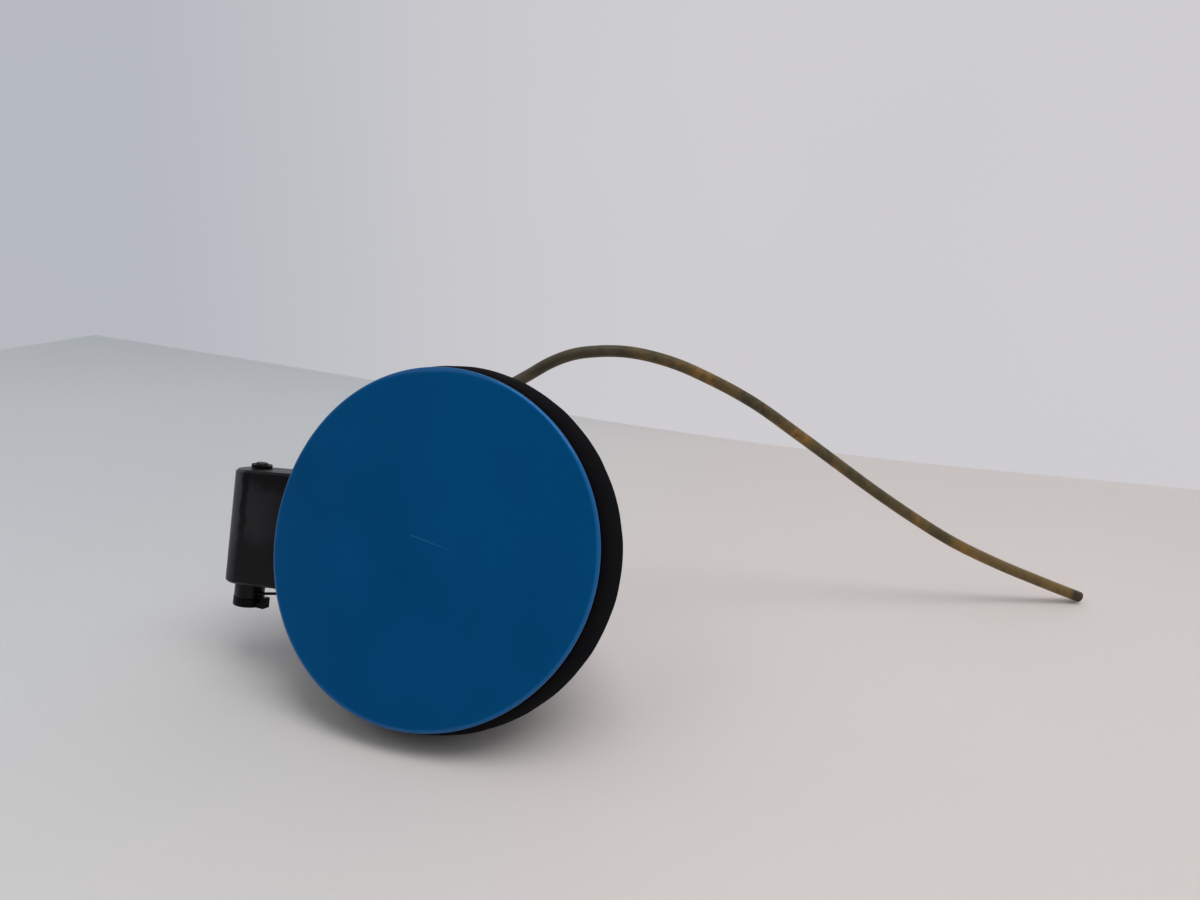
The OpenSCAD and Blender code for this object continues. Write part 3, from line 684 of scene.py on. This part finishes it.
def make_spring():
    top = BOSS_END - WIRE_R - FIT
    drop = COIL_H - 2 * WIRE_R - 2 * FIT
    start, turn = math.radians(LEG_ANGLE - 90), math.radians(LEG_ANGLE)
    x, y = COIL_R * math.cos(start), COIL_R * math.sin(start)
    leg = []
    for i in range(LEG_STEPS, 0, -1):
        s = LEG_L * i / LEG_STEPS
        leg.append(at_hinge(x + s * math.cos(turn), y + s * math.sin(turn), top))
    coil = []
    for i in range(COIL_STEPS + 1):
        a = math.radians(LEG_ANGLE - 90 - i * 360 / COIL_STEPS)
        coil.append(at_hinge(COIL_R * math.cos(a), COIL_R * math.sin(a),
                             top - drop * i / COIL_STEPS))
    path = [p * MM for p in leg + coil]
    radii = [WIRE_R * MM] * len(path)
    # The wire's cut ends are a little thinner
    radii[0] = radii[-1] = WIRE_END_R * MM
    verts, faces = sweep(path, radii, WIRE_SIDES, closed_ends=True)
    new_object("spring_wire", verts, faces, "housing", spring_steel,
               ["hinge_spring"])


make_spring()


# Grommet and buffers

def make_grommet():
    section = rounded([
        (NECK_BORE_R, -6.0), (NECK_BORE_R, 6.0), (28.5, 7.5), (34.0, 5.5), (34.0, 2.6),
        (30.9, 2.6), (30.9, -6.0),
    ], [0.5, 0.5, 0.7, 1.2, 0.8, 0.1, 0.5], closed=True, steps=4)

    def place(r, h, a):
        return Vector((r * math.cos(a), -h, r * math.sin(a))) * MM

    verts, faces = lathe(section, place, GROMMET_SIDES, True)
    new_object("grommet", verts, faces, "housing", grommet_rubber,
               ["neck_grommet"])


def make_buffer(name, node):
    """A waisted buffer with its stem, in the place of the CAD's own."""
    low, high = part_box(node)
    low, high = Vector(low) / MM, Vector(high) / MM
    x, z = (low.x + high.x) / 2, (low.z + high.z) / 2
    base = FACE_Y + BUFFER_LEDGE
    tall = base - low.y
    section = rounded([
        (0.0, tall), (3.2, tall), (4.2, tall - 0.9), (4.3, tall * 0.62), (3.7, tall * 0.5),
        (4.5, tall * 0.38), (5.0, 0.0), (2.0, 0.0), (2.0, -4.0), (3.0, -4.6), (2.0, -6.5),
        (0.0, -6.5),
    ], [0, 0.8, 0.8, 0.6, 0.6, 0.6, 0.3, 0.1, 0.2, 0.5, 0.5, 0], steps=4)

    def place(r, h, a):
        return Vector((x + r * math.cos(a), base - h, z + r * math.sin(a))) * MM

    verts, faces = lathe(section, place, BUFFER_SIDES, False)
    new_object(name, verts, faces, "housing", grommet_rubber, [node])


make_grommet()
make_buffer("buffer_top", "buffer_upper")
make_buffer("buffer_bottom", "buffer_lower")


# Floor and backdrop

# The bench's plane: its normal, and its place along that normal in metres
BENCH_UP = Vector((-0.03999804, -0.39698055, 0.91695507))
BENCH_AT = -0.05934
FLOOR_REACH = 6.0
BACKDROP_TALL = 3.5
# Foot of the backdrop on the bench, from the left wall's near end round the corner to the
# right, in millimetres; the points from the third to the seventh are joined by a curve
BACKDROP = [
    [-971.6, 100, -63], [-891.7, 424.5, 80.2], [-864.9, 534.2, 128.8], [-399.2, 472, 122.2],
    [-85.5, 421.2, 113.9], [159.8, 404.1, 117.2], [440.4, 419, 135.9], [3400, 700, 390],
]


def stage_material(name, left, right, ends, lit):
    """Plain matt stage paint, cooler to the left; an unlit one keeps its colour as written."""
    m = Nodes(name, 0.15, Roughness=0.85)
    shade = m.mix(m.span(m.along_x(), *ends), left, right)
    shade = m.mix(m.span(m.noise(2.2, 3.0), 0.3, 0.7, 0.0, 0.10), shade, srgb(188, 188, 188))
    specks = m.span(m.noise(520.0, 3.0, 0.7), 0.66, 0.76, 0.0, 0.10 if lit else 0.0)
    shade = m.mix(specks, shade, srgb(120, 118, 112))
    m.link(shade, "Base Color")
    m.link(m.bump(m.noise(700.0, 4.0, 0.7), 0.25, 0.0004), "Normal")
    surface = m.shader.outputs[0]
    if not lit:
        surface = m.add("ShaderNodeEmission", {"Color": shade, "Strength": 1.0}).outputs[0]
    # Seen from behind, the stage hides neither the part nor the light
    clear = m.add("ShaderNodeBsdfTransparent").outputs[0]
    behind = m.add("ShaderNodeNewGeometry").outputs["Backfacing"]
    mixed = m.add("ShaderNodeMixShader", {0: behind, 1: surface, 2: clear})
    m.tree.links.new(mixed.outputs[0], m.output.inputs["Surface"])
    return m.material


def stage_object(name, verts, faces, facing, material):
    """A piece of the stage whose first face looks the way of facing."""
    mesh = bpy.data.meshes.new(name)
    mesh.from_pydata([tuple(v) for v in verts], [], faces)
    mesh.update()
    if mesh.polygons[0].normal.dot(facing) < 0:
        mesh.flip_normals()
    obj = bpy.data.objects.new(name, mesh)
    obj.data.materials.append(material)
    bpy.context.scene.collection.objects.link(obj)


def backdrop_foot():
    foot = [Vector(p) * MM for p in BACKDROP]
    foot = [p - BENCH_UP * (p.dot(BENCH_UP) - BENCH_AT) for p in foot]
    return foot[:2] + smooth_line(foot[2:7], BACKDROP_STEPS) + foot[7:]


def make_floor(foot):
    # Directions along the bench: to the right and away from the camera
    right = (RIGHT - BENCH_UP * RIGHT.dot(BENCH_UP)).normalized()
    away = BENCH_UP.cross(right)
    origin = BENCH_UP * BENCH_AT
    near = (foot[0] - origin).dot(away)
    far = FLOOR_REACH
    corners = [origin + right * a + away * b for a, b in ((far, -far), (-far, -far), (-far, near))]
    verts = foot + corners
    material = stage_material(
        "floor_paint", srgb(214, 217, 219), srgb(232, 225, 221), (-0.35, 0.18), lit=True)
    stage_object("floor", verts, [tuple(range(len(verts)))], BENCH_UP, material)


def make_backdrop(foot):
    n = len(foot)
    verts = foot + [p + BENCH_UP * BACKDROP_TALL for p in foot]
    faces = [(i, i + 1, n + i + 1, n + i) for i in range(n - 1)]
    material = stage_material(
        "backdrop_paint", srgb(182, 186, 193), srgb(208, 206, 210), (-0.8, 0.05), lit=False)
    stage_object("backdrop", verts, faces, Vector((1, 0, 0)), material)


make_floor(backdrop_foot())
make_backdrop(backdrop_foot())


# Light

def add_light(name, kind, power, colour, towards, **props):
    """A lamp that shines towards a direction."""
    data = bpy.data.lights.new(name, kind)
    data.energy = power
    data.color = colour
    for key, value in props.items():
        setattr(data, key, value)
    obj = bpy.data.objects.new(name, data)
    obj.rotation_mode = "QUATERNION"
    obj.rotation_quaternion = Vector(towards).to_track_quat("-Z", "Y")
    bpy.context.scene.collection.objects.link(obj)
    return obj


# A wide soft light from above, a weaker one from the camera's left, and a low lamp at the left
add_light("key", "SUN", 1.85, (1.0, 0.99, 0.97), (-0.26, 0.25, -0.93), angle=math.radians(54.0))
add_light("window", "SUN", 0.25, (0.98, 0.99, 1.0), (0.50, 0.74, -0.45),
          angle=math.radians(36.0))
fill = add_light("fill", "AREA", 2.5, (0.96, 0.98, 1.0), (1.3, -0.2, -0.6), shape="DISK",
                 size=0.9)
fill.location = (-1.3, 0.2, 0.6)

world = bpy.data.worlds.new("world")
bpy.context.scene.world = world
world.use_nodes = True
sky = world.node_tree

# The room is dimmer on the side that the closed flap faces
way = add_node(sky, "ShaderNodeTexCoord").outputs["Generated"]
ahead = add_node(sky, "ShaderNodeVectorMath", {0: way, 1: (-0.38, -0.92, -0.08)},
                 operation="DOT_PRODUCT").outputs["Value"]
strength = add_node(sky, "ShaderNodeMapRange", {
    "Value": ahead, "From Min": 0.35, "From Max": 0.88, "To Min": 0.68, "To Max": 0.06,
}, interpolation_type="SMOOTHSTEP").outputs["Result"]
room = sky.nodes["Background"]
feed(sky, room.inputs["Color"], srgb(240, 241, 245))
feed(sky, room.inputs["Strength"], strength)

# Where the camera looks at it, the background is pale and even
seen = add_node(sky, "ShaderNodeBackground", {"Color": srgb(205, 205, 209), "Strength": 1.0})
rays = add_node(sky, "ShaderNodeLightPath").outputs
either = add_node(sky, "ShaderNodeMath", {
    0: rays["Is Camera Ray"], 1: rays["Is Transmission Ray"],
}, operation="MAXIMUM")
both = add_node(sky, "ShaderNodeMixShader", {
    0: either.outputs[0], 1: room.outputs[0], 2: seen.outputs[0],
})
feed(sky, sky.nodes["World Output"].inputs["Surface"], both.outputs[0])

bpy.context.scene.view_settings.view_transform = "Standard"
